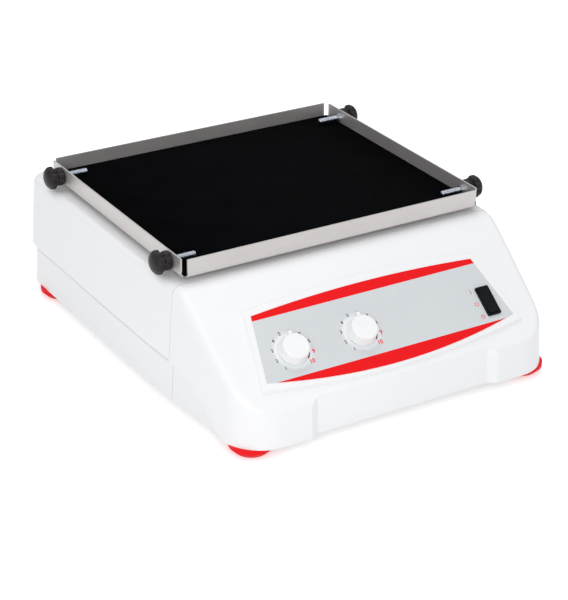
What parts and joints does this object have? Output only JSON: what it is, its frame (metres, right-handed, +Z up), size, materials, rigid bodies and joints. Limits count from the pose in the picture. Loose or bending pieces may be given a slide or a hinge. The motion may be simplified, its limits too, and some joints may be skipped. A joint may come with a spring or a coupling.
{
  "type": "orbital shaker",
  "caption": "Bench-top orbital shaker: white wedge-fronted housing, raised sloped panel with dials and rocker, steel tray with ribbed mat and thumbscrews, round feet.",
  "frame": {"origin": "On the bench, under the middle of the overall bounding box", "axes": "+X to the user's right, +Y from the control panel to the back, +Z up"},
  "size_m": [0.369, 0.4401, 0.1515],
  "materials": {
    "white_shell": "smooth semi-gloss moulding",
    "red_rubber": "smooth moulded rubber",
    "mat_rubber": "fine ribbed matt rubber",
    "tray_steel": "brushed stainless sheet",
    "zinc_steel": "bright zinc plate",
    "thumb_plastic": "fine satin black plastic",
    "dial_plastic": "satin white plastic",
    "label_film": "printed polyester film in silver grey and red",
    "switch_plastic": "satin black plastic",
    "plate_steel": "plated steel plate",
    "cast_aluminium": "machined cast aluminium",
    "bearing_steel": "ground bearing steel",
    "spindle_steel": "turned steel",
    "motor_paint": "dark grey enamel",
    "weight_iron": "grey iron",
    "belt_rubber": "flat belt rubber",
    "board_green": "solder-masked glass board",
    "component_black": "mixed moulded component cases",
    "pot_metal": "plated pressed steel",
    "pin_brass": "plated brass"
  },
  "bodies": {
    "housing": {"front_housing": "white_shell", "top_cover": "white_shell", "base_pan": "white_shell", "rubber_feet": "red_rubber", "foot_screws": "zinc_steel", "housing_screws": "zinc_steel", "chassis_plate": "plate_steel", "chassis_screws": "zinc_steel", "drive_bearing_housing": "cast_aluminium", "left_bearing_housing": "cast_aluminium", "right_bearing_housing": "cast_aluminium", "spindle_bearings": "bearing_steel", "flange_screws": "zinc_steel", "drive_motor": "motor_paint", "motor_screws": "zinc_steel", "drive_belt": "belt_rubber", "control_label": "label_film", "speed_potentiometer": "pot_metal", "time_potentiometer": "pot_metal", "potentiometer_nuts": "pot_metal", "switch_bezel": "switch_plastic", "control_board": "board_green", "board_components": "component_black", "board_screws": "zinc_steel", "power_inlet": "switch_plastic", "inlet_pins": "pin_brass", "inlet_screws": "zinc_steel"},
    "drive_spindle": {"drive_crank": "spindle_steel", "drive_bearing_races": "bearing_steel", "drive_pulley": "cast_aluminium", "counterweight": "weight_iron", "counterweight_screws": "zinc_steel"},
    "left_idler": {"left_crank": "spindle_steel", "left_bearing_races": "bearing_steel"},
    "right_idler": {"right_crank": "spindle_steel", "right_bearing_races": "bearing_steel"},
    "motor_rotor": {"motor_shaft": "spindle_steel", "motor_pulley": "cast_aluminium"},
    "platform": {"tray_carrier": "plate_steel", "bearing_cups": "cast_aluminium", "pin_bearings": "bearing_steel", "tray": "tray_steel", "rubber_mat": "mat_rubber", "tray_screws": "zinc_steel", "wall_nuts": "zinc_steel"},
    "front_left_stud_body": {"front_left_stud": "zinc_steel"},
    "front_left_knob_body": {"front_left_thumb_knob": "thumb_plastic"},
    "front_right_stud_body": {"front_right_stud": "zinc_steel"},
    "front_right_knob_body": {"front_right_thumb_knob": "thumb_plastic"},
    "rear_left_stud_body": {"rear_left_stud": "zinc_steel"},
    "rear_left_knob_body": {"rear_left_thumb_knob": "thumb_plastic"},
    "rear_right_stud_body": {"rear_right_stud": "zinc_steel"},
    "rear_right_knob_body": {"rear_right_thumb_knob": "thumb_plastic"},
    "speed_dial": {"speed_knob": "dial_plastic", "speed_shaft": "spindle_steel"},
    "time_dial": {"time_knob": "dial_plastic", "time_shaft": "spindle_steel"},
    "rocker": {"switch_rocker": "switch_plastic"}
  },
  "joints": [
    {"name": "drive_spin", "type": "hinge", "parent": "housing", "child": "drive_spindle", "pos_m": [0, -0.0325, 0.07], "axis": [0, 0, 1], "continuous": true},
    {"name": "left_idler_spin", "type": "hinge", "parent": "housing", "child": "left_idler", "pos_m": [-0.1, 0.1075, 0.07], "axis": [0, 0, 1], "continuous": true},
    {"name": "right_idler_spin", "type": "hinge", "parent": "housing", "child": "right_idler", "pos_m": [0.1, 0.1075, 0.07], "axis": [0, 0, 1], "continuous": true},
    {"name": "motor_spin", "type": "hinge", "parent": "housing", "child": "motor_rotor", "pos_m": [0, 0.085, 0.05], "axis": [0, 0, 1], "continuous": true},
    {"name": "platform_orbit", "type": "hinge", "parent": "drive_spindle", "child": "platform", "pos_m": [0, -0.025, 0.121], "axis": [0, 0, 1], "continuous": true},
    {"name": "front_left_stud_slide", "type": "slide", "parent": "platform", "child": "front_left_stud_body", "axis": [-1, 0, 0], "range_m": [0, 0.022]},
    {"name": "front_left_thumb_turn", "type": "hinge", "parent": "front_left_stud_body", "child": "front_left_knob_body", "pos_m": [-0.1745, -0.0684, 0.1401], "axis": [-1, 0, 0], "range_deg": [0, 7920]},
    {"name": "front_right_stud_slide", "type": "slide", "parent": "platform", "child": "front_right_stud_body", "axis": [1, 0, 0], "range_m": [0, 0.022]},
    {"name": "front_right_thumb_turn", "type": "hinge", "parent": "front_right_stud_body", "child": "front_right_knob_body", "pos_m": [0.1745, -0.0684, 0.1401], "axis": [1, 0, 0], "range_deg": [0, 7920]},
    {"name": "rear_left_stud_slide", "type": "slide", "parent": "platform", "child": "rear_left_stud_body", "axis": [-1, 0, 0], "range_m": [0, 0.022]},
    {"name": "rear_left_thumb_turn", "type": "hinge", "parent": "rear_left_stud_body", "child": "rear_left_knob_body", "pos_m": [-0.1745, 0.1584, 0.1401], "axis": [-1, 0, 0], "range_deg": [0, 7920]},
    {"name": "rear_right_stud_slide", "type": "slide", "parent": "platform", "child": "rear_right_stud_body", "axis": [1, 0, 0], "range_m": [0, 0.022]},
    {"name": "rear_right_thumb_turn", "type": "hinge", "parent": "rear_right_stud_body", "child": "rear_right_knob_body", "pos_m": [0.1745, 0.1584, 0.1401], "axis": [1, 0, 0], "range_deg": [0, 7920]},
    {"name": "speed_turn", "type": "hinge", "parent": "housing", "child": "speed_dial", "pos_m": [-0.0983, -0.17644, 0.07771], "axis": [0, -0.5962, 0.8028], "range_deg": [-135, 135]},
    {"name": "time_turn", "type": "hinge", "parent": "housing", "child": "time_dial", "pos_m": [-0.0251, -0.17644, 0.07771], "axis": [0, -0.5962, 0.8028], "range_deg": [-135, 135]},
    {"name": "rocker_tilt", "type": "hinge", "parent": "housing", "child": "rocker", "pos_m": [0.1166, -0.1797, 0.07591], "axis": [1, 0, 0], "range_deg": [-10, 10]}
  ],
  "couplings": [
    {"joint": "left_idler_spin", "follows": "drive_spin", "ratio": 1},
    {"joint": "right_idler_spin", "follows": "drive_spin", "ratio": 1},
    {"joint": "motor_spin", "follows": "drive_spin", "ratio": 4},
    {"joint": "platform_orbit", "follows": "drive_spin", "ratio": -1},
    {"joint": "front_left_stud_slide", "follows": "front_left_thumb_turn", "m_per_rad": 0.00015915},
    {"joint": "front_right_stud_slide", "follows": "front_right_thumb_turn", "m_per_rad": 0.00015915},
    {"joint": "rear_left_stud_slide", "follows": "rear_left_thumb_turn", "m_per_rad": 0.00015915},
    {"joint": "rear_right_stud_slide", "follows": "rear_right_thumb_turn", "m_per_rad": 0.00015915}
  ]
}
